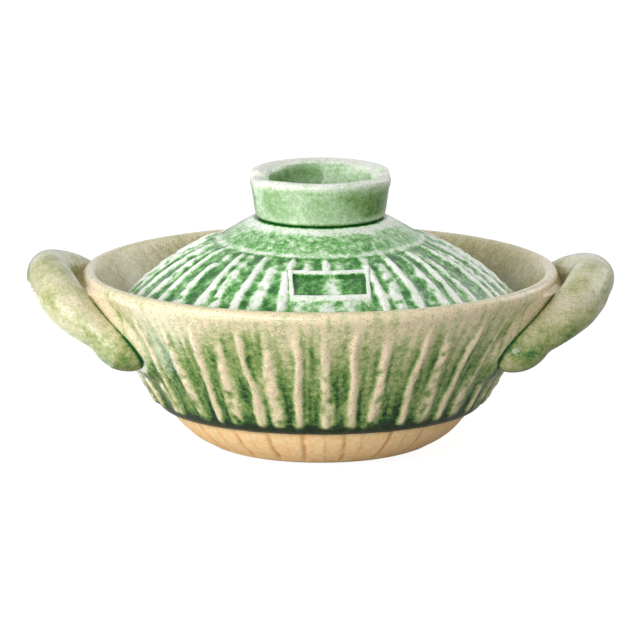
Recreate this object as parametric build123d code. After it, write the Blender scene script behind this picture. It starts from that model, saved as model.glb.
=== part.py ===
from build123d import *
import math
import os

# A clay hot pot: a thick flared bowl with two rope handles, and a domed lid with a ring knob.
# Lengths are in millimetres and angles in degrees. The pot stands on z = 0 and its axis is Z.
# The panel on the lid faces the front, which is -Y, and the handles lie on the X axis.
# A profile point is (radius, height). An azimuth is counted from the front, towards +X.

# Bowl, from the table up
foot_radius = 38.0
foot_recess_radius = 30.0
foot_recess_depth = 1.5
glaze_line_radius = 76.0
glaze_line_height = 20.8
knee_radius = 82.0
knee_height = 24.3
glaze_roll = 0.8
rim_radius = 120.0
rim_height = 91.5
wall = 7.0
floor_thickness = 7.5
inside_corner_radius = 60.0

# Ledge inside the rim that carries the lid
seat_height = 70.0
seat_width = 8.5

# Lid, from its edge to the top, with heights above the seat
lid_clearance = 1.5
lid_edge_height = 3.0
lid_ring_width = 7.5
dome_radius = 125.0
shoulder_radius = 52.0
shoulder_height = 36.9
crown_radius = 33.0
crown_height = 48.3
crown_thickness = 8.9
lid_turn = 3.8
vent_diameter = 8.0
vent_radius = 43.0

# Panel on the lid, a low frame round a sunken field
panel_width = 40.2
panel_length = 21.6
panel_radius = 72.8
panel_frame = 3.2
panel_rise = 1.6
panel_sink = 0.8
panel_depth = 12.0

# Knob, a thrown ring with two notches
knob_height = 24.7
knob_foot_radius = 32.4
knob_top_radius = 36.0
knob_bore_radius = 22.0
knob_mouth_radius = 25.4
knob_lip_fall = 3.0
knob_crest_width = 1.6
knob_rounding = 2.4
notch_width = 13.0
notch_depth = 4.0
notch_turn = 4.7

# Handles, each a rope bent to a loop that rises outwards, thins to a neck and ends in a lump
handle_reach = 149.0
handle_height = 89.2
loop_tilt = 39.0
loop_radius = 43.0
loop_half_turn = 80.0
leg_length = 14.0
rope_radius = 11.6
neck_radius = 8.8
end_lump_radius = 10.4
rope_place_shares = (0.0, 0.35, 0.6, 0.8, 1.0)

# Ridges: narrow and broad ones by turns, on the bowl's wall and on the dome
bowl_ridge_pairs = 22
bowl_ridge_azimuth = 11.5
bowl_ridge_top = 75.0
bowl_ridge_lap = 1.0
lid_ridge_pairs = 22
lid_ridge_lap = 3.0
narrow_half_width = 2.5
narrow_rise = 1.6
broad_half_width = 4.2
broad_rise = 1.5
ridge_wander = 1.2
ridge_place_shares = (0.0, 0.1, 0.35, 0.6, 0.85, 1.0)
narrow_size_shares = (0.3, 1.0, 1.0, 0.9, 0.85, 0.4)
broad_size_shares = (0.3, 1.0, 0.8, 0.95, 0.7, 0.35)
wander_shares = (0.5, 0.6, -0.7, 0.3, 0.9, 0.4)

overrun = 10.0

# Sizes worked out from those above
lip_radius = wall / 2
lip_centre = (rim_radius - lip_radius, rim_height - lip_radius)
knee = (knee_radius, knee_height)
glaze_line = (glaze_line_radius, glaze_line_height)


def step_from(point, angle, length):
    """The point that lies a length away, in a direction given in radians."""
    return (point[0] + length * math.cos(angle), point[1] + length * math.sin(angle))


def turned(outline):
    """The solid that a closed profile makes round the Z axis."""
    return revolve(make_face(Plane.XZ * outline), Axis.Z)


def at_azimuth(azimuth):
    """The turn that carries something modelled at +X round to an azimuth."""
    return Rot(0, 0, azimuth - 90)


# The wall is the straight line from the knee that touches the round lip on its outer side
lip_offset = (lip_centre[0] - knee[0], lip_centre[1] - knee[1])
wall_angle = math.atan2(lip_offset[1], lip_offset[0]) - math.asin(lip_radius / math.hypot(*lip_offset))
lip_outside = step_from(lip_centre, wall_angle - math.pi / 2, lip_radius)
lip_inside = step_from(lip_centre, wall_angle + math.pi / 2, lip_radius)
lip_crest = (lip_centre[0], rim_height)


def outside_radius(height):
    return knee_radius + (height - knee_height) / math.tan(wall_angle)


def inside_radius(height):
    return outside_radius(height) - wall / math.sin(wall_angle)


seat_radius = inside_radius(seat_height)
lid_radius = seat_radius - lid_clearance
lid_edge = (lid_radius, seat_height + lid_edge_height)
shoulder = (shoulder_radius, seat_height + shoulder_height)
crown = (crown_radius, seat_height + crown_height)


def dome_arc_centre():
    """The centre of the dome's arc, which bulges up and out from the edge to the shoulder."""
    run = lid_edge[0] - shoulder[0]
    fall = shoulder[1] - lid_edge[1]
    chord = math.hypot(run, fall)
    back = math.sqrt(dome_radius**2 - chord**2 / 4)
    middle = ((lid_edge[0] + shoulder[0]) / 2, (lid_edge[1] + shoulder[1]) / 2)
    return (middle[0] - back * fall / chord, middle[1] - back * run / chord)


dome_centre = dome_arc_centre()


def dome_angle(point):
    """The direction from the arc's centre to a point of the dome, in radians."""
    return math.atan2(point[1] - dome_centre[1], point[0] - dome_centre[0])


shoulder_angle = dome_angle(shoulder)
edge_angle = dome_angle(lid_edge)


def ridge(stations, size_shares, half_width, rise, wander):
    """A ridge at +X: a ruled loft through ellipses that are centred on the clay's surface.

    Each station is a point of the profile and the direction of travel there, in radians.
    """
    sections = []
    for (point, angle), size_share, wander_share in zip(stations, size_shares, wander_shares):
        along = (math.cos(angle), 0, math.sin(angle))
        plane = Plane(origin=(point[0], 0, point[1]), x_dir=(0, 1, 0), z_dir=along)
        section = Ellipse(half_width * size_share, rise * size_share)
        sections.append(plane * Pos(wander * wander_share, 0) * section)
    return loft(sections, ruled=True)


def ridges(stations, pairs, first_azimuth):
    """Narrow and broad ridges by turns, all the way round."""
    pitch = 360 / pairs
    pieces = []
    for index in range(pairs):
        wander = ridge_wander * math.cos(index * index)
        narrow = ridge(stations, narrow_size_shares, narrow_half_width, narrow_rise, wander)
        broad = ridge(stations, broad_size_shares, broad_half_width, broad_rise, -wander)
        azimuth = first_azimuth + index * pitch
        pieces.append(at_azimuth(azimuth) * narrow)
        pieces.append(at_azimuth(azimuth + pitch / 2) * broad)
    return pieces


def bowl_outside():
    """The bowl's outer form, filled up to the inner edge of its lip."""
    rise = glaze_line_height
    run = glaze_line_radius - foot_radius
    underside_radius = (run**2 + rise**2) / (2 * rise)
    half_turn = math.asin(run / underside_radius) / 2
    underside_middle = (
        foot_radius + underside_radius * math.sin(half_turn),
        underside_radius - underside_radius * math.cos(half_turn),
    )
    roll_angle = math.atan2(knee_height - glaze_line_height, knee_radius - glaze_line_radius)
    roll_chord_middle = ((knee[0] + glaze_line[0]) / 2, (knee[1] + glaze_line[1]) / 2)
    roll_middle = step_from(roll_chord_middle, roll_angle - math.pi / 2, glaze_roll)
    outline = Line((0, foot_recess_depth), (foot_recess_radius, foot_recess_depth))
    outline += Line((foot_recess_radius, foot_recess_depth), (foot_recess_radius, 0))
    outline += Line((foot_recess_radius, 0), (foot_radius, 0))
    outline += ThreePointArc((foot_radius, 0), underside_middle, glaze_line)
    outline += ThreePointArc(glaze_line, roll_middle, knee)
    outline += Line(knee, lip_outside)
    outline += ThreePointArc(lip_outside, lip_crest, lip_inside)
    outline += Line(lip_inside, (0, lip_inside[1]))
    outline += Line((0, lip_inside[1]), (0, foot_recess_depth))
    ridge_foot = knee_height - bowl_ridge_lap
    stations = []
    for place_share in ridge_place_shares:
        height = ridge_foot + place_share * (bowl_ridge_top - ridge_foot)
        stations.append(((outside_radius(height), height), wall_angle))
    pieces = ridges(stations, bowl_ridge_pairs, bowl_ridge_azimuth)
    return turned(outline).fuse(*pieces)


def bowl_inside():
    """The space inside the bowl: a curved floor, the wall, the lid's ledge and the mouth."""
    corner = (inside_radius(floor_thickness), floor_thickness)
    corner_run = inside_corner_radius * math.tan(wall_angle / 2)
    floor_end = (corner[0] - corner_run, floor_thickness)
    wall_start = step_from(corner, wall_angle, corner_run)
    ledge_edge = seat_radius - seat_width
    ledge_foot = seat_height - seat_width * math.tan(wall_angle)
    mouth_height = rim_height + overrun
    outline = Line((0, floor_thickness), floor_end)
    outline += TangentArc(floor_end, wall_start, tangent=(1, 0))
    outline += Line(wall_start, (ledge_edge, ledge_foot))
    outline += Line((ledge_edge, ledge_foot), (ledge_edge, seat_height))
    outline += Line((ledge_edge, seat_height), (seat_radius, seat_height))
    outline += Line((seat_radius, seat_height), (inside_radius(mouth_height), mouth_height))
    outline += Line((inside_radius(mouth_height), mouth_height), (0, mouth_height))
    outline += Line((0, mouth_height), (0, floor_thickness))
    return turned(outline)


def rope_point(length):
    """A point of the rope's middle line and its direction there, in radians.

    The length is counted along the line from the loop's middle. The line lies in the loop's own plane,
    with +X outwards and its origin at the loop's middle: an arc, then a straight leg.
    """
    arc_turn = min(length / loop_radius, math.radians(loop_half_turn))
    direction = arc_turn + math.pi / 2
    arc_point = step_from((-loop_radius, 0), arc_turn, loop_radius)
    return step_from(arc_point, direction, length - arc_turn * loop_radius), direction


def rope_handle(bowl_form, side):
    """A loop of rope that rises outwards, with its two round ends fitted to the bowl's wall."""
    half_length = loop_radius * math.radians(loop_half_turn) + leg_length
    radii = (rope_radius, rope_radius, (rope_radius + neck_radius) / 2, neck_radius, neck_radius)
    sections = []
    for place_share, radius in zip(rope_place_shares, radii):
        (outwards, across), direction = rope_point(place_share * half_length)
        along = (math.cos(direction), math.sin(direction), 0)
        plane = Plane(origin=(outwards, across, 0), x_dir=(0, 0, 1), z_dir=along)
        sections.append(plane * Circle(radius))
    half_rope = loft(sections) + Pos(outwards, across, 0) * Sphere(end_lump_radius)
    rope = half_rope + mirror(half_rope, Plane.XZ)
    placed = Pos(handle_reach - rope_radius, 0, handle_height) * Rot(0, -loop_tilt, 0) * rope
    if side < 0:
        placed = mirror(placed, Plane.YZ)
    return placed - bowl_form


def panel_angle():
    """The direction from the dome arc's centre to the middle of the panel, in radians."""
    return math.acos((panel_radius - dome_centre[0]) / dome_radius)


def dome_skin(below, above):
    """The layer between two surfaces that run parallel to the dome, at the panel's height."""
    spare = panel_length / dome_radius
    angles = (panel_angle() - spare, panel_angle(), panel_angle() + spare)
    low = [step_from(dome_centre, angle, dome_radius - below) for angle in angles]
    high = [step_from(dome_centre, angle, dome_radius + above) for angle in angles]
    outline = ThreePointArc(*low) + Line(low[2], high[2]) + ThreePointArc(*high) + Line(low[0], high[0])
    return turned(outline)


def panel_block(width, length):
    """A block over the panel's place on the dome, turned with the lid."""
    angle = panel_angle()
    place = step_from(dome_centre, angle, dome_radius)
    normal = (math.cos(angle), 0, math.sin(angle))
    plane = Plane(origin=(place[0], 0, place[1]), x_dir=(0, 1, 0), z_dir=normal)
    return at_azimuth(lid_turn) * (plane * Box(width, length, panel_depth))


def ridged_dome():
    """The dome, collar and crown as one filled form that runs on below the lid's edge."""
    lap_angle = lid_ridge_lap / dome_radius
    skirt_angle = edge_angle - 2 * lap_angle
    skirt = step_from(dome_centre, skirt_angle, dome_radius)
    dome_middle = step_from(dome_centre, (skirt_angle + shoulder_angle) / 2, dome_radius)
    uphill = (-math.sin(shoulder_angle), math.cos(shoulder_angle))
    base = seat_height - overrun
    outline = Line((0, base), (skirt[0], base))
    outline += Line((skirt[0], base), skirt)
    outline += ThreePointArc(skirt, dome_middle, shoulder)
    outline += TangentArc(shoulder, crown, tangent=uphill)
    outline += Line(crown, (0, crown[1]))
    outline += Line((0, crown[1]), (0, base))
    ridge_foot_angle = edge_angle - lap_angle
    ridge_top_angle = shoulder_angle + lap_angle
    stations = []
    for place_share in ridge_place_shares:
        angle = ridge_foot_angle + place_share * (ridge_top_angle - ridge_foot_angle)
        stations.append((step_from(dome_centre, angle, dome_radius), angle + math.pi / 2))
    return turned(outline).fuse(*ridges(stations, lid_ridge_pairs, lid_turn))


def lid_space():
    """What lies between the lid's hollow underside and its upright edge."""
    hollow_radius = lid_radius - lid_ring_width
    hollow_top = crown[1] - crown_thickness
    above = crown[1] + overrun
    outline = Line((hollow_radius, seat_height), (lid_radius, seat_height))
    outline += Line((lid_radius, seat_height), (lid_radius, above))
    outline += Line((lid_radius, above), (0, above))
    outline += Line((0, above), (0, hollow_top))
    outline += TangentArc((0, hollow_top), (hollow_radius, seat_height), tangent=(1, 0))
    return turned(outline)


def lid_dome():
    """The lid: ridged dome, smooth collar, flat crown, framed panel, hollow underside and vent."""
    dome = ridged_dome() & lid_space()
    block = panel_block(panel_width, panel_length)
    field = panel_block(panel_width - 2 * panel_frame, panel_length - 2 * panel_frame)
    dome -= dome_skin(panel_sink, panel_depth) & block
    dome += dome_skin(2 * panel_sink, panel_rise) & (block - field)
    vent = Pos(vent_radius, 0, crown[1]) * Cylinder(vent_diameter / 2, 2 * crown_height)
    return dome - at_azimuth(lid_turn + 180) * vent


def knob_ring():
    """The knob: a ring that flares upwards, with its crest near the outer edge and two notches."""
    base = crown[1]
    crest = base + knob_height
    crest_outside = knob_top_radius - knob_rounding
    crest_inside = crest_outside - knob_crest_width
    flare = math.atan2(knob_height, knob_top_radius - knob_foot_radius)
    side_top = step_from((knob_top_radius, crest), flare, -knob_rounding)
    outline = Line((knob_bore_radius, base), (knob_foot_radius, base))
    outline += Line((knob_foot_radius, base), side_top)
    outline += TangentArc(side_top, (crest_outside, crest), tangent=(math.cos(flare), math.sin(flare)))
    outline += Line((crest_outside, crest), (crest_inside, crest))
    mouth = (knob_mouth_radius, crest - knob_lip_fall)
    outline += TangentArc((crest_inside, crest), mouth, tangent=(-1, 0))
    outline += Line(mouth, (knob_bore_radius, base))
    ring = turned(outline)
    notch_radius = (notch_width**2 / 4 + notch_depth**2) / (2 * notch_depth)
    notch = Rot(0, 90, 0) * Cylinder(notch_radius, 2 * (knob_top_radius + overrun))
    across = Rot(0, 0, lid_turn + notch_turn)
    return ring - Pos(0, 0, crest - notch_depth + notch_radius) * across * notch


bowl_form = bowl_outside()
pieces = {
    "pot_bowl": bowl_form - bowl_inside(),
    "handle_left": rope_handle(bowl_form, -1),
    "handle_right": rope_handle(bowl_form, 1),
    "lid": lid_dome(),
    "lid_knob": knob_ring(),
}

os.makedirs("parts", exist_ok=True)
for name, piece in pieces.items():
    piece.label = name
    export_step(piece, f"parts/{name}.step")
    box = piece.bounding_box()
    print(name, "volume", round(piece.volume), "mm3, height", round(box.min.Z, 2), "to", round(box.max.Z, 2))
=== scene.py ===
# %% [markdown]
# # A glazed clay hot pot
# The real pot is thrown in coarse clay: a thick flared bowl, a domed lid, a ring knob and two handles
# rolled as ropes. Its wall and its lid are worked into ridges, and a green ash glaze runs off the ridges
# and pools between them. That is the whole look of the pot, so every finish here asks one question of
# the surface: how thick did the glaze end up at this place?

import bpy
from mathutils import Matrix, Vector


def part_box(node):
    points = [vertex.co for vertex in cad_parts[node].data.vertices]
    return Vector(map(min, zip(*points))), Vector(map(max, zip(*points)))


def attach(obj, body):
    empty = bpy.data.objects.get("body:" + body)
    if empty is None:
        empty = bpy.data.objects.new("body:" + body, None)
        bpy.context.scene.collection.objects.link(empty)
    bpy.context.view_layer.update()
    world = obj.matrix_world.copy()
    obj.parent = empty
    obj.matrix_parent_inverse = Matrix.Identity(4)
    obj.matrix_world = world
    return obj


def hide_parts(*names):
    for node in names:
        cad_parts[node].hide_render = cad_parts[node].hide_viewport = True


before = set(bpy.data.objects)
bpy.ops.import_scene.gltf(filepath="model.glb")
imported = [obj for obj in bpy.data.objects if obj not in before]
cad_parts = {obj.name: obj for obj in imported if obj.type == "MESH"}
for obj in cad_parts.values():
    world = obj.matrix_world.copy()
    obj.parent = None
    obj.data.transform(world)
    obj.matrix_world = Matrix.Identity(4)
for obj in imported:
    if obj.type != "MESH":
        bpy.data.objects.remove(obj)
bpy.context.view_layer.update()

# %% [markdown]
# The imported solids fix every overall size, so the main measures are read from them. A profile is
# written as points of radius and height in millimetres, because a potter's section is drawn that way.

# %% Measures taken from the solids
import math

import bpy
import numpy as np
from mathutils import Vector, noise

MM = 0.001
rim_radius, rim_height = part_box("pot_bowl")[1].y / MM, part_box("pot_bowl")[1].z / MM
lid_radius, seat_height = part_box("lid")[1].y / MM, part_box("lid")[0].z / MM
crown_height, crest_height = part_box("lid")[1].z / MM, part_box("lid_knob")[1].z / MM
knob_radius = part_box("lid_knob")[1].y / MM
handle_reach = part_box("handle_right")[1].x / MM
print("rim", rim_radius, rim_height, "lid", lid_radius, seat_height, crown_height)
print("knob", knob_radius, crest_height, "handle reach", handle_reach)

# %% [markdown]
# A section is made of straight and round stretches, one after another. A round stretch is set by how
# far it bulges past its chord, to the right of the way that the line travels.

# %% Stretches of a section


def straight(start, end, rows):
    """Points on a straight stretch."""
    return [start.lerp(end, row / rows) for row in range(1, rows + 1)]


def curved(start, end, bulge, rows):
    """Points on a round stretch that stands out from its chord by bulge."""
    half = (end - start).length / 2
    along = (end - start).normalized()
    across = Vector((along.y, -along.x))
    radius = (half**2 + bulge**2) / (2 * bulge)
    reach = math.asin(max(-1, min(1, half / radius)))
    centre = (start + end) / 2 + across * (bulge - radius)
    turns = [reach * (2 * row / rows - 1) for row in range(1, rows + 1)]
    return [centre + (across * math.cos(turn) + along * math.sin(turn)) * radius for turn in turns]


def bulge_of(start, end, radius):
    """How far an arc of a given radius stands out from its chord."""
    half = (end - start).length / 2
    return radius - math.sqrt(radius**2 - half**2)


def section(start, *stretches):
    """Points from a start through stretches of end, bulge and rows. Bulge 0 means straight."""
    points = [start]
    for end, bulge, rows in stretches:
        points += curved(start, end, bulge, rows) if bulge else straight(start, end, rows)
        start = end
    return points


# %% [markdown]
# The bowl's section starts under the foot, runs up the outside, over the lip and down the inside. The
# wall is straight from the knee, where the glaze ends in a thick roll, up to the round lip.

# %% Section of the bowl
foot_radius, foot_recess_radius, foot_recess_depth = 38.0, 30.0, 1.5
glaze_line = Vector((76.0, 20.8))
knee = Vector((82.0, 24.3))
glaze_roll = 0.8
underside_radius = 45.1
wall, floor_thickness, floor_rounding = 7.0, 7.5, 60.0
seat_width = 8.5
pole_radius = 10.0

lip_radius = wall / 2
lip_centre = Vector((rim_radius - lip_radius, rim_height - lip_radius))
lip_offset = lip_centre - knee
wall_angle = math.atan2(lip_offset.y, lip_offset.x) - math.asin(lip_radius / lip_offset.length)
wall_normal = Vector((math.sin(wall_angle), -math.cos(wall_angle)))


def outside_radius(height):
    """Radius of the wall's outer face at a height."""
    return knee.x + (height - knee.y) / math.tan(wall_angle)


def inside_radius(height):
    """Radius of the wall's inner face at a height."""
    return outside_radius(height) - wall / math.sin(wall_angle)


lip_outside = lip_centre + wall_normal * lip_radius
lip_inside = lip_centre - wall_normal * lip_radius
seat = Vector((inside_radius(seat_height), seat_height))
ledge = Vector((seat.x - seat_width, seat_height))
ledge_foot = Vector((ledge.x, seat_height - seat_width * math.tan(wall_angle)))
corner = Vector((inside_radius(floor_thickness), floor_thickness))
corner_run = floor_rounding * math.tan(wall_angle / 2)
wall_end = corner + Vector((math.cos(wall_angle), math.sin(wall_angle))) * corner_run
floor_end = corner - Vector((corner_run, 0))

foot_edge = Vector((foot_radius, 0))
bowl_section = section(
    Vector((pole_radius, foot_recess_depth)),
    (Vector((foot_recess_radius, foot_recess_depth)), 0, 2),
    (Vector((foot_recess_radius, 0)), 0, 1),
    (foot_edge, 0, 2),
    (glaze_line, bulge_of(foot_edge, glaze_line, underside_radius), 18),
    (knee, glaze_roll, 5),
    (lip_outside, 0, 60),
    (lip_inside, lip_radius, 10),
    (seat, 0, 6),
    (ledge, 0, 3),
    (ledge_foot, 0, 4),
    (wall_end, 0, 5),
    (floor_end, -bulge_of(wall_end, floor_end, floor_rounding), 12),
    (Vector((pole_radius, floor_thickness)), 0, 3),
)
print("the bowl's section has", len(bowl_section), "points, and its wall leans", math.degrees(wall_angle))

# %% [markdown]
# On the wheel the section is swept round the axis. Here a single vertex is extruded along the section,
# and a Screw modifier carries the chain round. The small holes left at the axis are filled, and the
# faces are turned outwards.

# %% Throw a section on the wheel
merge_distance = 1e-6


def select_only(piece):
    """Makes a piece the only one that operators act on."""
    bpy.ops.object.select_all(action="DESELECT")
    bpy.context.view_layer.objects.active = piece
    piece.select_set(True)


def apply_modifier(piece, name, kind, **settings):
    """Adds a modifier with its settings and applies it."""
    select_only(piece)
    modifier = piece.modifiers.new(name, kind)
    for setting, value in settings.items():
        setattr(modifier, setting, value)
    bpy.ops.object.modifier_apply(modifier=name)


def close_up(piece):
    """Merges doubled vertices, fills the holes and turns the faces outwards."""
    select_only(piece)
    bpy.ops.object.mode_set(mode="EDIT")
    bpy.ops.mesh.select_all(action="SELECT")
    bpy.ops.mesh.remove_doubles(threshold=merge_distance)
    bpy.ops.mesh.fill_holes(sides=0)
    bpy.ops.mesh.select_all(action="SELECT")
    bpy.ops.mesh.normals_make_consistent(inside=False)
    bpy.ops.object.mode_set(mode="OBJECT")


def thrown(name, line, turns):
    """A new piece: a chain of edges along a section's line, carried round Z."""
    bpy.ops.object.select_all(action="DESELECT")
    bpy.ops.mesh.primitive_plane_add(size=MM)
    piece = bpy.context.object
    piece.name = piece.data.name = name
    bpy.ops.object.mode_set(mode="EDIT")
    bpy.ops.mesh.merge(type="CENTER")
    points = [Vector((point.x, 0, point.y)) * MM for point in line]
    bpy.ops.transform.translate(value=points[0])
    for here, there in zip(points, points[1:]):
        bpy.ops.mesh.extrude_region_move(TRANSFORM_OT_translate={"value": there - here})
    bpy.ops.object.mode_set(mode="OBJECT")
    apply_modifier(piece, "wheel", "SCREW", steps=turns, render_steps=turns, use_merge_vertices=True,
                   merge_threshold=merge_distance)
    close_up(piece)
    print(name, "has", len(piece.data.vertices), "vertices and", len(piece.data.polygons), "faces")
    return piece


bowl = thrown("glazed_bowl", bowl_section, 720)

# %% [markdown]
# Relief is pressed out of the thrown form. Where each vertex lies on the pot decides how far it moves,
# as a share between 0 and 1 held in a vertex group, and a Displace modifier moves it. The azimuth is
# counted from the front, towards +X.

# %% Tools for relief


def points_of(piece):
    """Place of every vertex in millimetres."""
    flat = np.empty(3 * len(piece.data.vertices))
    piece.data.vertices.foreach_get("co", flat)
    return flat.reshape(-1, 3) / MM


def places(piece):
    """Radius and height in millimetres, and azimuth in degrees, of every vertex."""
    x, y, z = points_of(piece).T
    return np.hypot(x, y), z, np.degrees(np.arctan2(x, -y))


def press(piece, name, shares, distance, direction="NORMAL"):
    """Moves each vertex by its share of a distance in millimetres."""
    group = piece.vertex_groups.new(name=name)
    for index in np.flatnonzero(shares > 0.001):
        group.add([int(index)], float(shares[index]), "REPLACE")
    apply_modifier(piece, name, "DISPLACE", vertex_group=name, direction=direction, mid_level=0,
                   strength=distance * MM)


def keep(piece, name, values):
    """Stores one number per vertex, for the finish to read."""
    attribute = piece.data.attributes.new(name, "FLOAT", "POINT")
    values = np.broadcast_to(values, len(piece.data.vertices))
    attribute.data.foreach_set("value", values.astype(np.float32))


def keep_glaze(piece, thickness, edge=3.0, crease=0.0, inside=0.0):
    """Stores the four numbers that the finish asks for."""
    keep(piece, "glaze", thickness)
    keep(piece, "glaze_edge", edge)
    keep(piece, "crease", crease)
    keep(piece, "inside", inside)


def lumps(piece, size, seed):
    """Unevenness from -1 to 1 at every vertex, with lumps of a size in millimetres."""
    offset = Vector((seed, 2 * seed, 3 * seed))
    return np.array([noise.noise(vertex.co / (size * MM) + offset) for vertex in piece.data.vertices])


def runs(azimuth, height, size, stretch, seed):
    """Unevenness from -1 to 1 in streaks that run down the wall, their width in millimetres."""
    turn = np.radians(azimuth)
    spots = (rim_radius * np.sin(turn), rim_radius * np.cos(turn), height / stretch)
    spots = np.stack(spots, axis=1) / size + seed
    return np.array([noise.noise(Vector(spot)) for spot in spots])


def turn_between(azimuth, middle):
    """Degrees from a middle azimuth to each azimuth, the short way round."""
    return (azimuth - middle + 180) % 360 - 180


def arc(turn, radius):
    """Millimetres along a circle of a radius, for a turn in degrees."""
    return turn * math.pi / 180 * radius


def ease(value, low, high):
    """0 at low and 1 at high, with a soft step between. High may be the smaller one."""
    share = np.clip((value - low) / (high - low), 0, 1)
    return share * share * (3 - 2 * share)


# %% [markdown]
# Each handle is one rope of clay, rolled by hand. It lies along the wall near its ends and bows out
# between them. Each point of its route gives x, y, height and the rope's radius. The route is needed
# before the handles are made, because the wall was smeared around them: wet clay was drawn up to the
# rope, and the ridges were wiped away there.

# %% Route of a rope
rope_route = (
    (84.0, -41.0, 55.5, 3.0), (90.0, -43.5, 56.0, 8.4), (97.5, -45.0, 57.3, 10.4),
    (103.8, -45.3, 60.2, 10.6), (109.2, -43.8, 65.5, 8.7), (116.0, -41.2, 70.2, 9.9),
    (123.8, -35.6, 75.9, 11.4), (130.6, -25.6, 81.4, 12.1), (135.4, -11.5, 87.0, 11.5),
    (137.4, 2.0, 88.4, 11.4), (135.6, 16.5, 87.4, 11.5), (129.2, 30.6, 83.6, 11.2),
    (119.6, 41.0, 78.0, 10.7), (111.2, 45.6, 70.0, 9.7), (105.4, 46.8, 63.4, 9.0),
    (100.0, 46.0, 58.9, 9.9), (94.0, 45.0, 57.0, 9.8), (84.0, 41.0, 55.5, 3.0),
)
bead_count = 140
route_steps = np.arange(len(rope_route))
bead_steps = np.linspace(0, route_steps[-1], bead_count)
rope_beads = np.stack([np.interp(bead_steps, route_steps, column) for column in zip(*rope_route)], axis=1)
print("the rope's route has", len(rope_route), "points")


def rope_gap(piece):
    """Distance in millimetres from each vertex to the face of the nearer rope."""
    points = points_of(piece)
    points[:, 0] = np.abs(points[:, 0])
    gaps = [np.linalg.norm(points - bead[:3], axis=1) - bead[3] for bead in rope_beads]
    return np.minimum.reduce(gaps)


# %% [markdown]
# The ridges come in pairs all the way round: a narrow crisp one, then a broad one that breaks up into
# beads. No two are alike, so each wanders and swells by seeded chance, and the ones at the front are
# nudged to where the real ones stand. A make is how full a ridge stands, how much it beads, and where
# it fades out at the top.

# %% Worked ridges
loose_nudge = 1.3
slow_waves, quick_waves, quick_share = 4, 11, 0.35
swell_waves, swell_middle, swell_share = 7, 0.9, 0.12
foot_spread, spread_loss = 1.2, 0.5
bead_pinch, crest_share = 0.5, 0.1
narrow_make = (0.9, 0.4, (1.04, 0.8))
broad_make = (0.72, 0.9, (0.98, 0.66))
foot_fade = (-0.03, 0.05)


def ridge_lines(first, pairs, narrow_nudges, broad_nudges, chance):
    """Azimuth of every ridge, and whether it is a narrow one."""
    lines = []
    for index in range(-pairs // 2, pairs // 2):
        for half_step, nudges in ((0, narrow_nudges), (0.5, broad_nudges)):
            nudge = nudges.get(index, chance.uniform(-loose_nudge, loose_nudge))
            lines.append((first + (index + half_step) * 360 / pairs + nudge, half_step == 0))
    return lines


def worked_ridges(azimuth, radius, along, lines, widths, wander, beads, chance):
    """Relief from 0 to 1 of all ridges. along runs from 0 at their foot to 1 at their top."""
    relief = np.zeros_like(azimuth)
    for line, narrow in lines:
        slow, quick, swelling = chance.uniform(0, math.tau, 3)
        waves = np.sin(slow_waves * along + slow) + quick_share * np.sin(quick_waves * along + quick)
        swell = swell_middle + swell_share * np.sin(swell_waves * along + swelling)
        off = arc(np.abs(turn_between(azimuth, line + wander * waves)), radius)
        half_width = widths[0 if narrow else 1] * swell * (foot_spread - spread_loss * np.clip(along, 0, 1))
        crest = ease(off * (1 + bead_pinch * beads), half_width, crest_share * half_width)
        clay, beading, top_fade = narrow_make if narrow else broad_make
        crest = crest * np.clip(clay + beading * beads, 0, 1) * ease(along, *top_fade)
        relief = np.maximum(relief, crest)
    return np.clip(relief, 0, 1) * ease(along, *foot_fade)


# %% [markdown]
# On the bowl the ridges stand on the roll of glaze and fade out under the lip. Around each handle's
# ends the ridges stop short, and the wall swells up to the rope.

# %% Ridges on the bowl
bowl_pairs, bowl_first_azimuth = 22, 11.5
bowl_ridge_foot, bowl_ridge_top = 25.6, 82.0
bowl_ridge_widths, bowl_wander, bowl_bead_size = (3.7, 5.4), 0.7, 5
face_slack = 0.4
smear_reach, swell_reach = (13, 5), (11, 0)
bowl_narrow_nudges = {-3: 2.3, -2: 0.5, -1: -1.8, 0: -1.7, 1: 0.7, 2: 0.3, 3: -0.1}
bowl_broad_nudges = {-5: 3.0, -4: 1.9, -3: 0.8, -2: -0.8, -1: -1.8, 0: -2.5, 1: -0.1, 2: 0.1}

radius, height, azimuth = places(bowl)
wall_gap = (radius - outside_radius(height)) * math.sin(wall_angle)
on_wall = (np.abs(wall_gap) < face_slack) & (height > knee.y - 1) & (height < lip_outside.y + 0.5)
up_wall = (height - bowl_ridge_foot) / (bowl_ridge_top - bowl_ridge_foot)
chance = np.random.default_rng(11)
bowl_lines = ridge_lines(bowl_first_azimuth, bowl_pairs, bowl_narrow_nudges, bowl_broad_nudges, chance)
bowl_beads = lumps(bowl, bowl_bead_size, seed=5)
bowl_relief = worked_ridges(
    azimuth, radius, up_wall, bowl_lines, bowl_ridge_widths, bowl_wander, bowl_beads, chance)
to_rope = rope_gap(bowl)
smear = ease(to_rope, *smear_reach)
bowl_relief = bowl_relief * on_wall * (1 - smear)
smear_swell = ease(to_rope, *swell_reach) * on_wall
print("ridges cover", round(float((bowl_relief > 0.3).sum() / on_wall.sum()), 2), "of the wall")

# %% [markdown]
# Under the glaze line the foot was trimmed with a knife, a cut from each ridge down to the foot. The
# cuts meet in fine creases with shallow facets between them, and the glaze never reached them.

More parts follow.
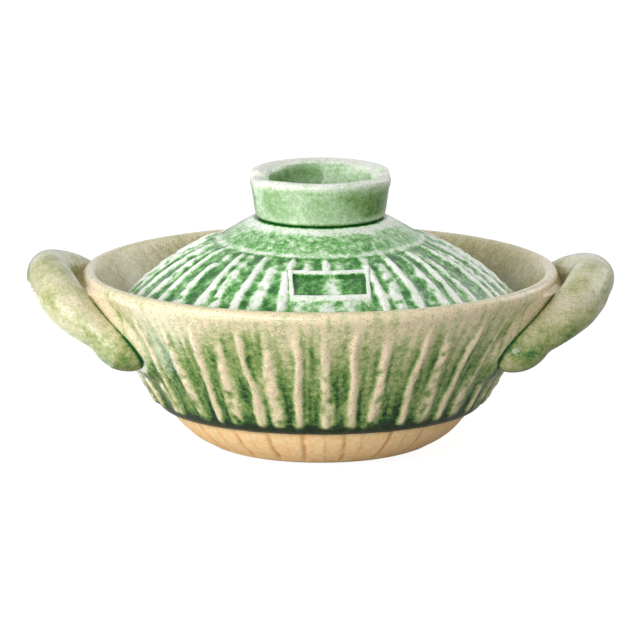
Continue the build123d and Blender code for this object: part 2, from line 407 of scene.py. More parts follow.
# %% Knife cuts on the bare base
crease_width, crease_depth = 1.1, 0.3
facet_width, facet_back, facet_depth = 11.0, 2.0, 0.9
cut_lean, cut_wobble, wobble_size = (-0.4, 0.6), 0.7, 6
deep_cut, light_cut, crease_fill = (0.7, 1.0), (0.2, 0.6), 0.7
base_thickness = 12
on_base = (height < glaze_line.y + 0.3) & (radius > foot_radius - 0.5) & (wall_gap > -base_thickness)
wobble = lumps(bowl, wobble_size, seed=2)
crease = np.zeros_like(azimuth)
facet = np.zeros_like(azimuth)
for line, narrow in bowl_lines:
    lean = chance.uniform(*cut_lean) * (glaze_line.x - radius) / 10 + cut_wobble * wobble
    off = arc(turn_between(azimuth, line + lean), radius)
    strength = chance.uniform(*(deep_cut if narrow else light_cut))
    across_facet = np.where(off > 0, off / facet_width, -off / facet_back)
    crease = np.maximum(crease, strength * np.clip(1 - np.abs(off) / crease_width, 0, 1))
    facet = np.maximum(facet, strength * np.clip(1 - across_facet, 0, 1))
crease = crease * on_base * np.clip(crease_fill + wobble, 0, 1)
facet = facet * on_base * ease(height, 0, 3)
print("creases mark", int((crease > 0.4).sum()), "vertices of the base")

# %% [markdown]
# The ridges come first, then the smears at the handles' ends and the soft unevenness of a hand-made
# wall, and last the knife's marks, which go inwards.

# %% Press the bowl's relief
ridge_height, smear_height = 1.6, 3.2
wall_lump_size, wall_lump_height = 9, 0.5
press(bowl, "ridges", bowl_relief, ridge_height)
press(bowl, "smears", smear_swell, smear_height)
wall_lumps = (0.5 + 0.5 * lumps(bowl, wall_lump_size, seed=3)) * on_wall * (height > knee.y + 2)
press(bowl, "hand_lumps", wall_lumps, wall_lump_height)
press(bowl, "creases", crease, -crease_depth)
press(bowl, "facets", facet, -facet_depth)
print("the bowl's ridges stand", ridge_height, "mm proud, and the smears", smear_height, "mm")

# %% [markdown]
# The inside gets a duller, browner run of colours than the outside. This is partly its own glaze and partly
# painted shade under the lid, and it keeps the two apart. The outside is what lies near the underside, the
# roll or the wall's outer face.

# %% Outside and inside of the bowl
underside_slack, wall_slack = 2.0, 2.5
below_knee = height < knee.y
off_underside = np.hypot(radius - foot_radius, height - underside_radius) - underside_radius
outer = below_knee & ((np.abs(off_underside) < underside_slack) | (radius > glaze_line.x - 1))
outer = outer | (np.abs(wall_gap) < wall_slack)
above_floor = ~outer & (height > floor_thickness - 0.5)
above_seat = (radius < lip_centre.x) & (height > seat_height - 1)
inner = (above_floor | above_seat) & ~(on_wall & (wall_gap > -1))
print("the inside takes up", int(inner.sum()), "vertices")

# %% [markdown]
# The glaze thickness follows from gravity: thin at the lip, thicker towards the foot, thin again on every
# ridge, in streaks that run down the wall. It pools in the groove along each rope. On the smears it is
# thinned, which paints a pale sheen there.

# %% Glaze thickness on the bowl
run_heights = (20.0, 25.5, 28.0, 35.0, 45.0, 56.0, 65.0, 74.0, 82.0, 91.5)
run_thickness = (1.1, 1.08, 0.9, 0.73, 0.68, 0.62, 0.53, 0.38, 0.2, 0.06)
inside_heights, inside_thickness = (8.0, 16.0, 40.0, 70.0, 88.0), (0.8, 0.65, 0.5, 0.5, 0.15)
ridge_loss, smear_sheen_loss, pool_gain = 0.8, 0.3, 0.8
streak_gain, cloud_gain, streak_start = 0.3, 0.15, (26, 32)
smear_sheen_start, pool_start, pool_reach = (50, 60), (52, 58), (2.2, 0.8)

streaks = runs(azimuth, height, size=3.0, stretch=7, seed=31)
clouds = runs(azimuth, height, size=12.0, stretch=2, seed=57)
bowl_glaze = np.interp(height, run_heights, run_thickness) - ridge_loss * bowl_relief
bowl_glaze = bowl_glaze + (streak_gain * streaks + cloud_gain * clouds) * ease(height, *streak_start)
# Painted sheen: the glaze on the smears round the handles' ends is thinned, so that they look pale.
bowl_glaze = bowl_glaze - smear_sheen_loss * smear * ease(height, *smear_sheen_start)
bowl_glaze = bowl_glaze + pool_gain * ease(to_rope, *pool_reach) * ease(height, *pool_start)
bowl_glaze = np.where(inner, np.interp(height, inside_heights, inside_thickness), bowl_glaze)
print("the bowl's glaze is", round(float(bowl_glaze.mean()), 2), "thick on average")

# %% [markdown]
# The finish also asks how far each vertex is from the edge of the glaze, and on which side. The ledge
# was wiped bare, because a lid fired on a glazed ledge would stick to it.

# %% Keep the bowl's glaze
far_from_edge, bare = 5.0, -1.0
seat_slack, seat_margin, inside_fade = 0.2, 1.2, 4
edge_reach = np.hypot(radius - glaze_line.x, height - glaze_line.y)
edge_reach = np.where(height < glaze_line.y, -edge_reach, edge_reach)
glaze_edge = np.where(inner, far_from_edge, np.clip(edge_reach, -far_from_edge, far_from_edge))
on_seat = inner & (np.abs(height - seat_height) < seat_slack)
on_seat = on_seat & (radius > ledge.x - seat_slack) & (radius < seat.x - seat_margin)
glaze_edge = np.where(on_seat, bare, glaze_edge)
# Where this share is 1, the inside's darker colours show, which hold painted shade under the lid.
inside = inner * ease(height, rim_height, rim_height - inside_fade)
keep_glaze(bowl, bowl_glaze, glaze_edge, crease, inside)
print("the bare ledge takes up", int(on_seat.sum()), "vertices")

# %% [markdown]
# The lid is thrown the same way: hollow underneath, an upright edge that stands on the bowl's ledge, a
# round dome, a smooth collar and a flat crown under the knob.

# %% Section of the lid
lid_edge_height, shoulder_radius, shoulder_rise, crown_radius = 3.0, 52.0, 36.9, 33.0
dome_radius, crown_thickness, ring_width = 125.0, 8.9, 7.5
lid_edge = Vector((lid_radius, seat_height + lid_edge_height))
shoulder = Vector((shoulder_radius, seat_height + shoulder_rise))
crown = Vector((crown_radius, crown_height))
collar_bulge = 0.35

hollow_edge = Vector((lid_radius - ring_width, seat_height))
hollow_drop = crown_height - crown_thickness - seat_height
hollow_radius = (hollow_edge.x**2 + hollow_drop**2) / (2 * hollow_drop)
hollow_pole_drop = bulge_of(Vector((-pole_radius, 0)), Vector((pole_radius, 0)), hollow_radius)
hollow_top = Vector((pole_radius, crown_height - crown_thickness - hollow_pole_drop))
lid_section = section(
    hollow_top,
    (hollow_edge, -bulge_of(hollow_top, hollow_edge, hollow_radius), 18),
    (Vector((lid_radius, seat_height)), 0, 3),
    (lid_edge, 0, 2),
    (shoulder, bulge_of(lid_edge, shoulder, dome_radius), 66),
    (crown, collar_bulge, 18),
    (Vector((pole_radius, crown_height)), 0, 6),
)
lid = thrown("glazed_lid", lid_section, 720)

# %% [markdown]
# The panel on the lid's front is a low frame round a sunken field. Its place is worked out along the
# dome's arc, so the frame follows the curve. More vertices are needed there than elsewhere, so the
# faces under the panel are selected by their place and subdivided.

# %% Finer mesh under the panel
lid_turn = 3.8
panel_radius = 72.8
panel_half_width, panel_half_length, panel_margin = 20.1, 10.8, 2
far_away = 1000.0
chord = lid_edge - shoulder
dome_back = math.sqrt(dome_radius**2 - chord.length_squared / 4)
dome_centre = (lid_edge + shoulder) / 2 - Vector((-chord.y, chord.x)).normalized() * dome_back
panel_angle = math.acos((panel_radius - dome_centre.x) / dome_radius)


def panel_place(piece):
    """Each vertex's place across the panel and up the dome from its middle, in millimetres."""
    radius, height, azimuth = places(piece)
    across = radius * np.sin(np.radians(turn_between(azimuth, lid_turn)))
    along = (np.arctan2(height - dome_centre.y, radius - dome_centre.x) - panel_angle) * dome_radius
    on_dome = np.hypot(radius - dome_centre.x, height - dome_centre.y) > dome_radius - 1
    front = (np.abs(turn_between(azimuth, lid_turn)) < 90) & on_dome
    return np.where(front, across, far_away), along


across, along = panel_place(lid)
near_panel = np.abs(across) < panel_half_width + panel_margin
near_panel = near_panel & (np.abs(along) < panel_half_length + panel_margin)
bpy.ops.object.mode_set(mode="EDIT")
bpy.ops.mesh.select_all(action="DESELECT")
bpy.ops.object.mode_set(mode="OBJECT")
lid.data.vertices.foreach_set("select", near_panel)
for face in lid.data.polygons:
    face.select = all(near_panel[index] for index in face.vertices)
bpy.ops.object.mode_set(mode="EDIT")
bpy.ops.mesh.subdivide(number_cuts=1)
bpy.ops.object.mode_set(mode="OBJECT")
print("the lid now has", len(lid.data.vertices), "vertices")

# %% [markdown]
# A steam hole goes through the collar at the back. It is cut with a round bar by a boolean, before the
# relief, so that the numbers kept for the glaze belong to the finished mesh.

# %% Steam hole
vent_diameter, vent_radius, bar_length = 8.0, 43.0, 60.0
vent_azimuth = math.radians(lid_turn + 180)
vent_place = Vector((math.sin(vent_azimuth), -math.cos(vent_azimuth), 0)) * vent_radius * MM
vent_place = vent_place + Vector((0, 0, crown_height * MM))
bpy.ops.object.select_all(action="DESELECT")
bpy.ops.mesh.primitive_cylinder_add(
    vertices=64, radius=vent_diameter / 2 * MM, depth=bar_length * MM, location=vent_place)
bar = bpy.context.object
apply_modifier(lid, "vent", "BOOLEAN", operation="DIFFERENCE", object=bar)
bpy.data.objects.remove(bar)
print("the lid has", len(lid.data.vertices), "vertices after the hole")

# %% [markdown]
# The lid's ridges fan out from the shoulder to the edge, along the dome's arc.

# %% Ridges on the lid
lid_pairs, lid_first_azimuth = 22, 2.8
lid_ridge_widths, lid_wander, lid_bead_size = (4.1, 5.4), 0.6, 4
lid_narrow_nudges = {-4: 0.5, -3: 1.8, -2: 0.9, -1: 0.0, 0: 0.0, 1: 2.6, 2: -0.3, 3: 0.2, 4: 1.8}

radius, height, azimuth = places(lid)
dome_turn = np.arctan2(height - dome_centre.y, radius - dome_centre.x)
edge_turn = math.atan2(lid_edge.y - dome_centre.y, lid_edge.x - dome_centre.x)
shoulder_turn = math.atan2(shoulder.y - dome_centre.y, shoulder.x - dome_centre.x)
up_dome = (dome_turn - edge_turn) / (shoulder_turn - edge_turn)
on_top = np.hypot(radius - dome_centre.x, height - dome_centre.y) > dome_radius - 0.6
on_dome = on_top & (up_dome > 0.01) & (radius > shoulder.x - 1)
chance = np.random.default_rng(5)
lid_lines = ridge_lines(lid_first_azimuth, lid_pairs, lid_narrow_nudges, {}, chance)
lid_beads = lumps(lid, lid_bead_size, seed=17)
up_ridge = np.clip(0.1 + 0.86 * up_dome, 0, 2)
lid_relief = worked_ridges(
    azimuth, radius, up_ridge, lid_lines, lid_ridge_widths, lid_wander, lid_beads, chance)
print("the lid has", len(lid_lines), "ridges")

# %% [markdown]
# The ridges stop at the panel's frame, and are softer below it, where the clay was smoothed. The frame
# is broader below the field than at its sides.

# %% Panel's frame and field
frame_bottom, frame_top, frame_side = 3.4, 2.8, 2.0
soft_below, left_under_frame = 0.6, 0.3

across, along = panel_place(lid)
outer_off = np.maximum(np.abs(across) - panel_half_width, np.abs(along) - panel_half_length)
field_middle = (frame_bottom - frame_top) / 2
field_half_length = panel_half_length - (frame_bottom + frame_top) / 2
field_off = np.maximum(
    np.abs(across) - panel_half_width + frame_side, np.abs(along - field_middle) - field_half_length)
in_field = ease(field_off, 0.4, -0.6)
on_frame = ease(outer_off, 0.7, -0.5) * (1 - in_field)
below_panel = ease(np.abs(across), panel_half_width + 2, panel_half_width - 3) * (along < 0)
beside_panel = np.maximum(ease(outer_off, 0, 1.2), left_under_frame)
lid_relief = lid_relief * on_dome * beside_panel * (1 - soft_below * below_panel)
lid_relief = np.where(in_field > 0, 0.0, lid_relief)
print("the panel's frame covers", int((on_frame > 0.5).sum()), "vertices")

# %% [markdown]
# The frame stands a little lower than the ridges, and the field lies under the dome's face.

# %% Press the lid's relief
frame_height, field_depth, lid_ridge_height = 1.3, 0.8, 1.6
lid_lump_size, lid_lump_height = 8, 0.4
press(lid, "ridges", lid_relief, lid_ridge_height)
press(lid, "panel_frame", on_frame * on_dome, frame_height)
press(lid, "panel_field", in_field * on_dome, -field_depth)
lid_lumps = (0.5 + 0.5 * lumps(lid, lid_lump_size, seed=7)) * on_top * (up_dome > 0.02)
press(lid, "hand_lumps", lid_lumps, lid_lump_height)
print("the frame stands", frame_height, "mm proud and the field lies", field_depth, "mm deep")

# %% [markdown]
# The collar's glaze is pale where it broke at the neck and at the shoulder, and green between. A deep
# green line of pooled glaze runs round the knob's neck. Between the ridges the glaze is thick and
# blotchy, and on them it is thin.

# %% Glaze thickness on the lid's top
neck_radius, collar_radius = 33.4, 54.0
collar_radii = (0.0, neck_radius - 0.4, neck_radius + 0.8, 36.5, 39.5, 49.0, 51.5, collar_radius)
collar_glaze = (0.6, 1.1, 0.08, 0.12, 0.5, 0.6, 0.25, 0.9)
valley_places, valley_glaze = (0.0, 0.08, 0.9, 1.0), (0.95, 0.8, 0.78, 0.84)
valley_blotches, collar_blotches, blotch_size = 0.45, 0.15, 4.5
lid_ridge_loss, below_loss = 1.05, 0.25

blotches = lumps(lid, blotch_size, seed=23)
valley = np.interp(up_dome, valley_places, valley_glaze) + valley_blotches * blotches
collar = np.interp(radius, collar_radii, collar_glaze) + collar_blotches * blotches
top_glaze = np.where(radius < collar_radius, collar, valley)
top_glaze = top_glaze - lid_ridge_loss * lid_relief - below_loss * below_panel
print("the lid's glaze is", round(float(top_glaze.mean()), 2), "thick on average")

# %% [markdown]
# On the panel the frame is nearly white, and the field is green with a thin smear up its middle. The
# ring that the lid stands on is bare.

# %% Keep the lid's glaze
frame_glaze, field_middle_glaze, field_rim_gain, field_smear_loss = 0.05, 0.78, 0.25, 0.5
smear_middle, smear_wobble, smear_width, rim_width = 1.5, 1.5, (5.5, 0.5), (-3.0, -0.6)
underside_glaze, crown_edge = 0.3, 34

field_smear = ease(np.abs(across - smear_middle) + smear_wobble * blotches, *smear_width)
field_rim = ease(field_off, *rim_width)
field_glaze = field_middle_glaze + field_rim_gain * field_rim - field_smear_loss * field_smear
top_glaze = top_glaze * (1 - on_frame) + frame_glaze * on_frame
top_glaze = top_glaze * (1 - in_field) + field_glaze * in_field
above_dome_arc = np.hypot(radius - dome_centre.x, height - dome_centre.y) > dome_radius - 1.5
under = np.where(radius > crown_edge, ~above_dome_arc, height < crown_height - 2)
on_ring = (height < seat_height + 2.0) & (radius > hollow_edge.x - 3)
keep_glaze(lid, np.where(under, underside_glaze, top_glaze), np.where(on_ring, bare, 3.0))
print("the lid's bare ring takes up", int(on_ring.sum()), "vertices")

# %% [markdown]
# The knob is a ring thrown on the lid's crown, open at the top, with its lip folded over to a soft
# crest. Its section is a closed loop, so the first point comes again at its end.

# %% Section of the knob
knob_base = crown_height
bore_radius, knob_foot_radius, mouth_radius = 22.0, 32.4, 26.4
lip_fall, crest_width, knob_rounding, foot_rounding = 2.8, 1.4, 2.2, 1.6
side_inset, lip_bulge, foot_bulge = 0.25, 0.6, 0.35
crest_outside = Vector((knob_radius - knob_rounding, crest_height))
crest_inside = crest_outside - Vector((crest_width, 0))
side_top = Vector((knob_radius - side_inset, crest_height - knob_rounding))
side_foot = Vector((knob_foot_radius + side_inset, knob_base + foot_rounding))
mouth = Vector((mouth_radius, crest_height - lip_fall))

bore_foot = Vector((bore_radius, knob_base))
knob_section = section(
    bore_foot,
    (Vector((knob_foot_radius - foot_rounding, knob_base)), 0, 4),
    (side_foot, foot_bulge, 4),
    (side_top, 0, 22),
    (crest_outside, lip_bulge, 5),
    (crest_inside, 0, 2),
    (mouth, lip_bulge, 8),
    (bore_foot, 0, 16),
)
knob = thrown("ring_knob", knob_section, 480)

# %% [markdown]
# A notch was pressed into the lip at each side: a sharp step down from the back half, and a long run up
# to the front. The whole crest sagged a little in the kiln, most at the front. Both are moves straight
# down, so they use the same tool along Z.

# %% Notches and sag of the knob
notch_depth, notch_azimuth, notch_run = 3.2, 97.0, 34.0
step_edge, level_share = (-2.0, 2.5), 0.2
sag, back_share, front_share = 1.4, 0.75, 0.25
knob_lump_size, knob_lump_height = 11, 0.5

radius, height, azimuth = places(knob)
past_step = arc(notch_azimuth - np.abs(turn_between(azimuth, lid_turn)), radius)
lip_share = ease(height, crest_height - 10, crest_height - 3)
run_up = level_share + (1 - level_share) * ease(past_step, notch_run, 2)
drop = ease(past_step, *step_edge) * run_up * lip_share
press(knob, "notches", drop, -notch_depth, "Z")
sink = back_share + front_share * np.cos(np.radians(azimuth))
sink = sink * (height - knob_base) / (crest_height - knob_base)
press(knob, "sag", sink, -sag, "Z")
knob_lumps = 0.5 + 0.5 * lumps(knob, knob_lump_size, seed=9)
knob_lumps = knob_lumps * ease(height, knob_base + 2, knob_base + 6) * (height < crest_height - 1)
press(knob, "hand_lumps", knob_lumps, knob_lump_height)
print("the knob's lip sinks by up to", sag, "mm and its notches by", notch_depth, "mm more")

# %% [markdown]
# Where the glaze broke over the knob's lip it is nearly white. Its side is mottled, and painted shade
# darkens it towards the right, away from the lamps. It pooled deep green in the groove at the foot.

# %% Keep the knob's glaze
side_places = (0.0, 0.035, 0.085, 0.3, 0.6, 0.82, 0.9, 1.0)
side_glaze = (1.1, 1.1, 0.3, 0.4, 0.46, 0.36, 0.08, 0.02)
bore_places, bore_thickness = (0.0, 0.3, 0.8, 0.93, 1.0), (0.9, 0.6, 0.45, 0.15, 0.02)
cloud_size, side_clouds, bore_clouds = 16, 0.3, 0.5
# Where, and how strongly, painted shade darkens the knob's right side.
shade_azimuth, painted_shade_gain = 15, 0.42

side_share = (height - knob_base) / (crest_height - knob_base)
shaded_right_side = np.clip(np.sin(np.radians(azimuth - shade_azimuth)), 0, 1)
clouds = lumps(knob, cloud_size, seed=12)
on_side = ease(side_share, 0.1, 0.25) * ease(side_share, 0.86, 0.62)
knob_glaze = np.interp(side_share, side_places, side_glaze)
# Painted shade: the knob's side is darkened towards the right, which the lamps at the left leave in shade.
knob_glaze = knob_glaze + (painted_shade_gain * shaded_right_side + side_clouds * clouds) * on_side
bore_glaze = np.interp(side_share, bore_places, bore_thickness) + bore_clouds * clouds
keep_glaze(knob, np.where(radius < mouth_radius + 1, bore_glaze, knob_glaze))
print("the knob's glaze is", round(float(knob_glaze.mean()), 2), "thick on average")

# %% [markdown]
# A rope is a smooth curve through its route, and the curve carries the rope's thickness at each point.
# Hand rolling left it a little lumpy, and the right one droops more than the left. What would reach
# into the wall is cut away with a cone that lies inside the clay, so no end shows in the bowl.

# %% Roll the ropes and press them on
trim_depth, trim_low, trim_high = 4.0, 20.0, 100.0
rope_lump_size, rope_lump_height = 13, 0.9
bevel = 10.0


def rope(name, side, droop):
    """A tapered tube along the route, as a mesh. Droop is how far its outer end hangs lower."""
    bpy.ops.object.select_all(action="DESELECT")
    bpy.ops.curve.primitive_nurbs_path_add()
    piece = bpy.context.object
    piece.name = name
    curve = piece.data
    curve.splines.clear()
    spline = curve.splines.new("NURBS")
    spline.points.add(len(rope_route) - 1)
    for point, (x, y, z, thickness) in zip(spline.points, rope_route):
        outwards = (x - rope_route[0][0]) / (handle_reach - rope_route[0][0])
        point.co = (side * x * MM, y * MM, (z - droop * outwards) * MM, 1)
        point.radius = (thickness - rope_lump_height / 2) / bevel
    spline.order_u = 3
    spline.use_endpoint_u = True
    spline.resolution_u = 14
    curve.bevel_depth = bevel * MM
    curve.bevel_resolution = 24
    curve.use_fill_caps = True
    bpy.ops.object.convert(target="MESH")
    return bpy.context.object


trim_edges = [
    Vector((outside_radius(level), level)) - wall_normal * trim_depth for level in (trim_low, trim_high)]
trim_section = [Vector((pole_radius, trim_low)), *trim_edges, Vector((pole_radius, trim_edges[1].y))]
trim_cone = thrown("trim_cone", trim_section, 256)

handles = {}
for name, side, droop in (("rope_left", -1, 0.6), ("rope_right", 1, 2.8)):
    handle = rope(name, side, droop)
    close_up(handle)
    rolled = 0.5 + 0.5 * lumps(handle, rope_lump_size, seed=21 + side)
    press(handle, "rolled_lumps", rolled, rope_lump_height)
    apply_modifier(handle, "trim", "BOOLEAN", operation="DIFFERENCE", object=trim_cone)
    handles[name] = handle
    print(name, "has", len(handle.data.vertices), "vertices")
bpy.data.objects.remove(trim_cone)

# %% [markdown]
# The handle's glaze is thin and mottled on its upper side, greener towards its ends, and pools in the
# groove against the wall.

# %% Keep the handles' glaze
upper_glaze, low_gain, blotch_gain, groove_gain, rope_blotch_size = 0.3, 0.28, 0.35, 0.7, 11
for name, handle in handles.items():
    radius, height, azimuth = places(handle)
    off_wall = (radius - outside_radius(height)) * math.sin(wall_angle)
    pooled = ease(off_wall, smear_height + 1.8, smear_height + 0.2) * ease(height, 86, 80)
    thickness = upper_glaze + low_gain * ease(height, 76, 60)
    thickness = thickness + blotch_gain * lumps(handle, rope_blotch_size, seed=41)
    keep_glaze(handle, thickness + groove_gain * pooled)
    print(name, "has its glaze")

# %% [markdown]
# The real finish is an ash glaze, fired to a gloss over coarse buff stoneware. Glass has an index of
# refraction near 1.5, and fired clay without glaze is rough, at 0.8. All pieces share one make-up, and
# each has its own run of colours, from thin glaze to thick. Colours are written as a painter would pick
# them and turned to linear light.

# %% One function for colours and one for nodes


def linear(code):
    """An sRGB hex colour as linear RGBA."""
    channels = [int(code[start:start + 2], 16) / 255 for start in (1, 3, 5)]
    return tuple(c / 12.92 if c <= 0.04045 else ((c + 0.055) / 1.055) ** 2.4 for c in channels) + (1.0,)


def add_node(tree, kind, inputs=None, stops=None, **settings):
    """Adds a node with its settings. Each input is linked if it is a socket, or else set."""
    made = tree.nodes.new(kind)
    for setting, value in settings.items():
        setattr(made, setting, value)
    for socket, value in (inputs or {}).items():
        if isinstance(value, bpy.types.NodeSocket):
            tree.links.new(value, made.inputs[socket])
        else:
            made.inputs[socket].default_value = value
    for index, (place, code) in enumerate(stops or ()):
        elements = made.color_ramp.elements
        element = elements[index] if index < 2 else elements.new(place)
        element.position = place
        element.color = linear(code)
    return made


# %% [markdown]
# The same few nodes come again and again: a sum, noise, a run of colours, a mix of two, and a value
# carried from one range to another. With a helper for each, a finish reads like a recipe.

# %% Helpers for common nodes
COLOR_A, COLOR_B, COLOR_OUT = 6, 7, 2


def computed(tree, operation, *values):
    """A sum, product or other operation on sockets and numbers."""
    return add_node(tree, "ShaderNodeMath", dict(enumerate(values)), operation=operation).outputs[0]


def cloud(tree, place, size, detail, roughness=0.5):
    """Noise from 0 to 1, with lumps of a size in millimetres."""
    return add_node(tree, "ShaderNodeTexNoise", {
        "Vector": place, "Scale": 1 / (size * MM), "Detail": detail, "Roughness": roughness}).outputs["Fac"]


def run_of(tree, colours, value):
    """The colour that a value has in a run of colours."""
    return add_node(tree, "ShaderNodeValToRGB", {"Fac": value}, stops=colours).outputs["Color"]


def blend(tree, share, first, second):
    """The first colour where the share is 0 and the second where it is 1."""
    return add_node(tree, "ShaderNodeMix", {0: share, COLOR_A: first, COLOR_B: second},
                    data_type="RGBA").outputs[COLOR_OUT]


def carried(tree, value, low, high, start=0.0, end=1.0):
    """A value carried from low and high to start and end."""
    return add_node(tree, "ShaderNodeMapRange", {
        "Value": value, "From Min": low, "From Max": high, "To Min": start, "To Max": end,
    }).outputs["Result"]


# %% [markdown]
# Fine mottling of about 1 mm comes from the ash in the glaze, blotches of 3 mm from the melt, and
# broader clouds of 12 mm from uneven dipping. They are added to the thickness before the colours are
# looked up, so a ridge's edge gets its ragged, melted look. Iron specks show where the glaze is thin.

# %% Colour of the glaze
mottle_sizes, mottle_detail, mottle_roughness = (1.3, 3.2, 12.0), 4.0, 0.65
speck_size, speck_edge, speck_choice = 1.2, (0.36, 0.16), (0.25, 0.75)
speck_thickness, speck_cover = (0.6, 0.15), 0.85


def glaze_colour(tree, place, thickness, inside, colours, inside_colours, mottling, speck_code):
    """Colour by thickness, from 0, where the glaze broke, to 1, where it pooled."""
    for size, gain in zip(mottle_sizes, mottling):
        mottle = computed(tree, "SUBTRACT", cloud(tree, place, size, mottle_detail, mottle_roughness), 0.5)
        thickness = computed(tree, "MULTIPLY_ADD", mottle, gain, thickness)
    outer_glaze, inner_glaze = [run_of(tree, stops, thickness) for stops in (colours, inside_colours)]
    cells = add_node(tree, "ShaderNodeTexVoronoi", {"Vector": place, "Scale": 1 / (speck_size * MM)})
    chance = add_node(tree, "ShaderNodeSeparateColor", {"Color": cells.outputs["Color"]}).outputs["Red"]
    speck = carried(tree, cells.outputs["Distance"], *speck_edge)
    speck = computed(tree, "MULTIPLY", speck, carried(tree, chance, *speck_choice))
    thin = carried(tree, thickness, *speck_thickness, end=speck_cover)
    speck = computed(tree, "MULTIPLY", speck, thin)
    return blend(tree, speck, blend(tree, inside, outer_glaze, inner_glaze), linear(speck_code))


# %% [markdown]
# The bare clay is coarse, and darker in the knife's creases. Its border with the glaze wavers. Grit
# roughens the clay and a slow swirl the glaze, so its highlights aren't quite even.

# %% Glazed stoneware
glass_index, glaze_roughness, clay_roughness, bump_strength = 1.5, 0.13, 0.8, 0.4
grit_size, grit_detail, grit_roughness = 2.5, 4.0, 0.6
border_size, border_detail, border_wave, border_edge = 7.0, 2.0, 2.0, (0.95, 1.15)
swirl_size, swirl_detail = 3.0, 3.0
clay_colours, crease_colour = ((0.3, "#F9CB8E"), (0.7, "#FFE6BB"), (0.5, "#FDD89F")), "#D98A38"


def glazed_stoneware(name, colours, inside_colours, mottling, speck_code):
    """Glaze over clay. The numbers kept with the mesh say where each of them shows."""
    material = bpy.data.materials.new(name)
    material.use_nodes = True
    tree = material.node_tree
    place = add_node(tree, "ShaderNodeTexCoord").outputs["Object"]
    thickness, edge, crease, inside = [
        add_node(tree, "ShaderNodeAttribute", attribute_name=kept).outputs["Fac"]
        for kept in ("glaze", "glaze_edge", "crease", "inside")]
    glaze = glaze_colour(tree, place, thickness, inside, colours, inside_colours, mottling, speck_code)
    grit = cloud(tree, place, grit_size, grit_detail, grit_roughness)
    clay = blend(tree, crease, run_of(tree, clay_colours, grit), linear(crease_colour))
    wave = cloud(tree, place, border_size, border_detail)
    glazed = carried(tree, computed(tree, "MULTIPLY_ADD", wave, border_wave, edge), *border_edge)
    swirl = cloud(tree, place, swirl_size, swirl_detail)
    skin = add_node(tree, "ShaderNodeMix", {0: glazed, 2: grit, 3: swirl}).outputs[0]
    bump = add_node(tree, "ShaderNodeBump", {
        "Height": skin, "Strength": bump_strength, "Distance": MM}).outputs["Normal"]
    shader = tree.nodes["Principled BSDF"]
    shader.inputs["IOR"].default_value = glass_index
    tree.links.new(blend(tree, glazed, clay, glaze), shader.inputs["Base Color"])
    gloss = carried(tree, glazed, 0.0, 1.0, clay_roughness, glaze_roughness)
    tree.links.new(gloss, shader.inputs["Roughness"])
    tree.links.new(bump, shader.inputs["Normal"])
    return material


# %% [markdown]
# The bowl's glaze is tan where it is thin and turns through olive to a green that is nearly black. The
# inside's run is browner and darker, partly its own glaze and partly painted shade under the lid. The lid's
# glaze is whiter and greener, because it lay thicker.

# %% Finishes for each piece
bowl_colours = (
    (0.0, "#E8D5B3"), (1.0, "#082A0C"), (0.16, "#DCD2AB"), (0.32, "#BFC08F"), (0.48, "#97A568"),
    (0.64, "#6C8C46"), (0.8, "#40662E"), (0.92, "#17401A"))
# The inside's colours are darkened to stand for painted shade under the lid.
inside_colours = (
    (0.0, "#D6C89E"), (1.0, "#52522A"), (0.3, "#AAA16C"), (0.55, "#918954"), (0.8, "#706E3C"))
lid_colours = (
    (0.0, "#F4F6F1"), (1.0, "#1C5E1E"), (0.24, "#DFECDA"), (0.42, "#ABD1A0"), (0.58, "#7AB26C"),
    (0.74, "#4C903E"), (0.88, "#2E752A"))
knob_colours = (
    (0.0, "#EAEEE4"), (1.0, "#145C2C"), (0.2, "#C6D8BC"), (0.4, "#A0BF95"), (0.6, "#82A86E"),
    (0.78, "#5F8844"), (0.92, "#386E2E"))
rope_colours = (
    (0.0, "#D6CCB2"), (1.0, "#1C5229"), (0.25, "#C2C096"), (0.45, "#A7AB73"), (0.62, "#879654"),
    (0.8, "#5B8042"), (0.92, "#346A30"))
brown, moss = "#6E4426", "#8F9A38"
smooth_angle = math.radians(50)
finishes = {
    bowl: glazed_stoneware("ash_glaze_on_bowl", bowl_colours, inside_colours, (0.6, 0.85, 0.3), brown),
    lid: glazed_stoneware("ash_glaze_on_lid", lid_colours, lid_colours, (0.8, 1.3, 0.4), moss),
    knob: glazed_stoneware("ash_glaze_on_knob", knob_colours, knob_colours, (0.7, 0.6, 0.4), moss),
}
rope_glaze = glazed_stoneware("ash_glaze_on_ropes", rope_colours, rope_colours, (0.8, 0.9, 0.6), brown)
for handle in handles.values():
    finishes[handle] = rope_glaze
for piece, material in finishes.items():
    piece.data.materials.clear()
    piece.data.materials.append(material)
    select_only(piece)
    bpy.ops.object.shade_smooth_by_angle(angle=smooth_angle)
print("finishes:", sorted({material.name for material in finishes.values()}))

# %% [markdown]
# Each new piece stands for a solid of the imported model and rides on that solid's body, so the lid and
# its knob lift off together.

# %% Tie the pieces to the solids
ties = (
    (bowl, "pot", "pot_bowl", "bowl_clay"),
    (handles["rope_left"], "pot", "handle_left", "handle_clay"),
    (handles["rope_right"], "pot", "handle_right", "handle_clay"),
    (lid, "lid", "lid", "lid_clay"),
    (knob, "lid", "lid_knob", "knob_clay"),
)
for piece, body, solid, slot in ties:
    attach(piece, body)
    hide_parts(solid)
    print(piece.name, "stands for", solid, "and rides on", body)

# %% [markdown]
# The pot stands on a white floor that only keeps a faint shadow. What the camera sees of the floor is
# mostly a glow of its own, and what lights the pot is an ordinary white table.

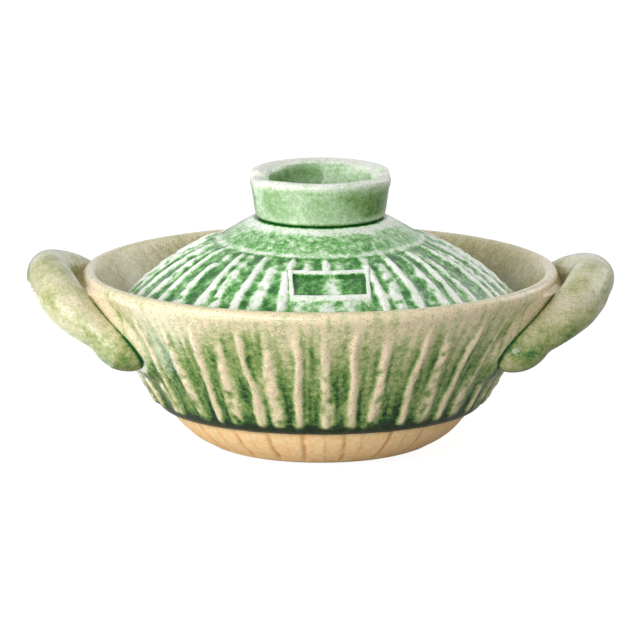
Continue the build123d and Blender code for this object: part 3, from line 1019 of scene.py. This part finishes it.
# %% Floor
floor_size, glow_strength = 12, 0.94
white_code, table_code, shade_code = "#FFFFFF", "#C4C4C4", "#707070"
bpy.ops.object.select_all(action="DESELECT")
bpy.ops.mesh.primitive_plane_add(size=floor_size)
floor = bpy.context.object
floor.name = "floor"
white_table = bpy.data.materials.new("white_table")
white_table.use_nodes = True
tree = white_table.node_tree
tree.nodes.clear()
seen = add_node(tree, "ShaderNodeLightPath").outputs["Is Camera Ray"]
table = add_node(tree, "ShaderNodeBsdfDiffuse", {"Color": linear(table_code)}).outputs[0]
shade = add_node(tree, "ShaderNodeBsdfDiffuse", {"Color": linear(shade_code)}).outputs[0]
glow = add_node(tree, "ShaderNodeEmission", {
    "Color": linear(white_code), "Strength": glow_strength}).outputs[0]
shown = add_node(tree, "ShaderNodeAddShader", {0: shade, 1: glow}).outputs[0]
mixed = add_node(tree, "ShaderNodeMixShader", {0: seen, 1: table, 2: shown}).outputs[0]
add_node(tree, "ShaderNodeOutputMaterial", {"Surface": mixed})
floor.data.materials.append(white_table)
print("the floor is", floor_size, "m wide")

# %% [markdown]
# Light comes from a large soft window at the left, a card in front and a weaker window at the right
# behind the pot, and from the white room all round. A low card on the table at the left only shines in
# the glaze. The camera itself sees plain white.

# %% Light
room_strength, white_strength = 0.44, 1.0
world = bpy.data.worlds.new("white_room")
bpy.context.scene.world = world
world.use_nodes = True
tree = world.node_tree
tree.nodes.clear()
path = add_node(tree, "ShaderNodeLightPath").outputs
plain = path["Is Camera Ray"]
for ray in ("Is Glossy Ray", "Is Transmission Ray"):
    plain = computed(tree, "MAXIMUM", plain, path[ray])
room, white = [
    add_node(tree, "ShaderNodeBackground", {"Color": linear(white_code), "Strength": strength}).outputs[0]
    for strength in (room_strength, white_strength)]
mixed = add_node(tree, "ShaderNodeMixShader", {0: plain, 1: room, 2: white}).outputs[0]
add_node(tree, "ShaderNodeOutputWorld", {"Surface": mixed})


def softbox(name, place, target, size, power):
    """A square lamp that faces a target. The camera doesn't see it."""
    bpy.ops.object.light_add(type="AREA", location=place)
    lamp = bpy.context.object
    lamp.name = name
    lamp.data.size = size
    lamp.data.energy = power
    lamp.rotation_euler = (Vector(target) - Vector(place)).to_track_quat("-Z", "Y").to_euler()
    lamp.visible_camera = False
    return lamp


pot_middle = (0, 0, 0.06)
softbox("window", (-1.35, -0.8, 0.5), pot_middle, 1.1, 18)
softbox("front_card", (-0.5, -1.5, 0.4), pot_middle, 0.8, 12)
softbox("far_window", (0.9, 0.6, 0.7), pot_middle, 0.8, 4)
low_card = softbox("low_card", (-0.42, 0.06, 0.005), (-0.42, 0.06, 1), 0.6, 2.6)
low_card.visible_diffuse = False

# %% [markdown]
# The photograph was taken from far away, 11 degrees above the table, so the camera stands 12 m off. Its
# long lens follows from how much of the scene the picture's width takes in.

# %% Camera
elevation, camera_distance = math.radians(11.0), 12.0
picture_pixels, pixel_size = 640, 0.505
picture_width = picture_pixels * pixel_size * MM
aim = Vector((-0.2 * MM, 0, 65.0 * MM))
towards_camera = Vector((0, -math.cos(elevation), math.sin(elevation)))
bpy.ops.object.camera_add(
    location=aim + towards_camera * camera_distance, rotation=(math.pi / 2 - elevation, 0, 0))
camera = bpy.context.object
camera.data.lens = camera.data.sensor_width * camera_distance / picture_width
bpy.context.scene.camera = camera
bpy.context.scene.view_settings.view_transform = "Standard"
print("lens", camera.data.lens, "mm")
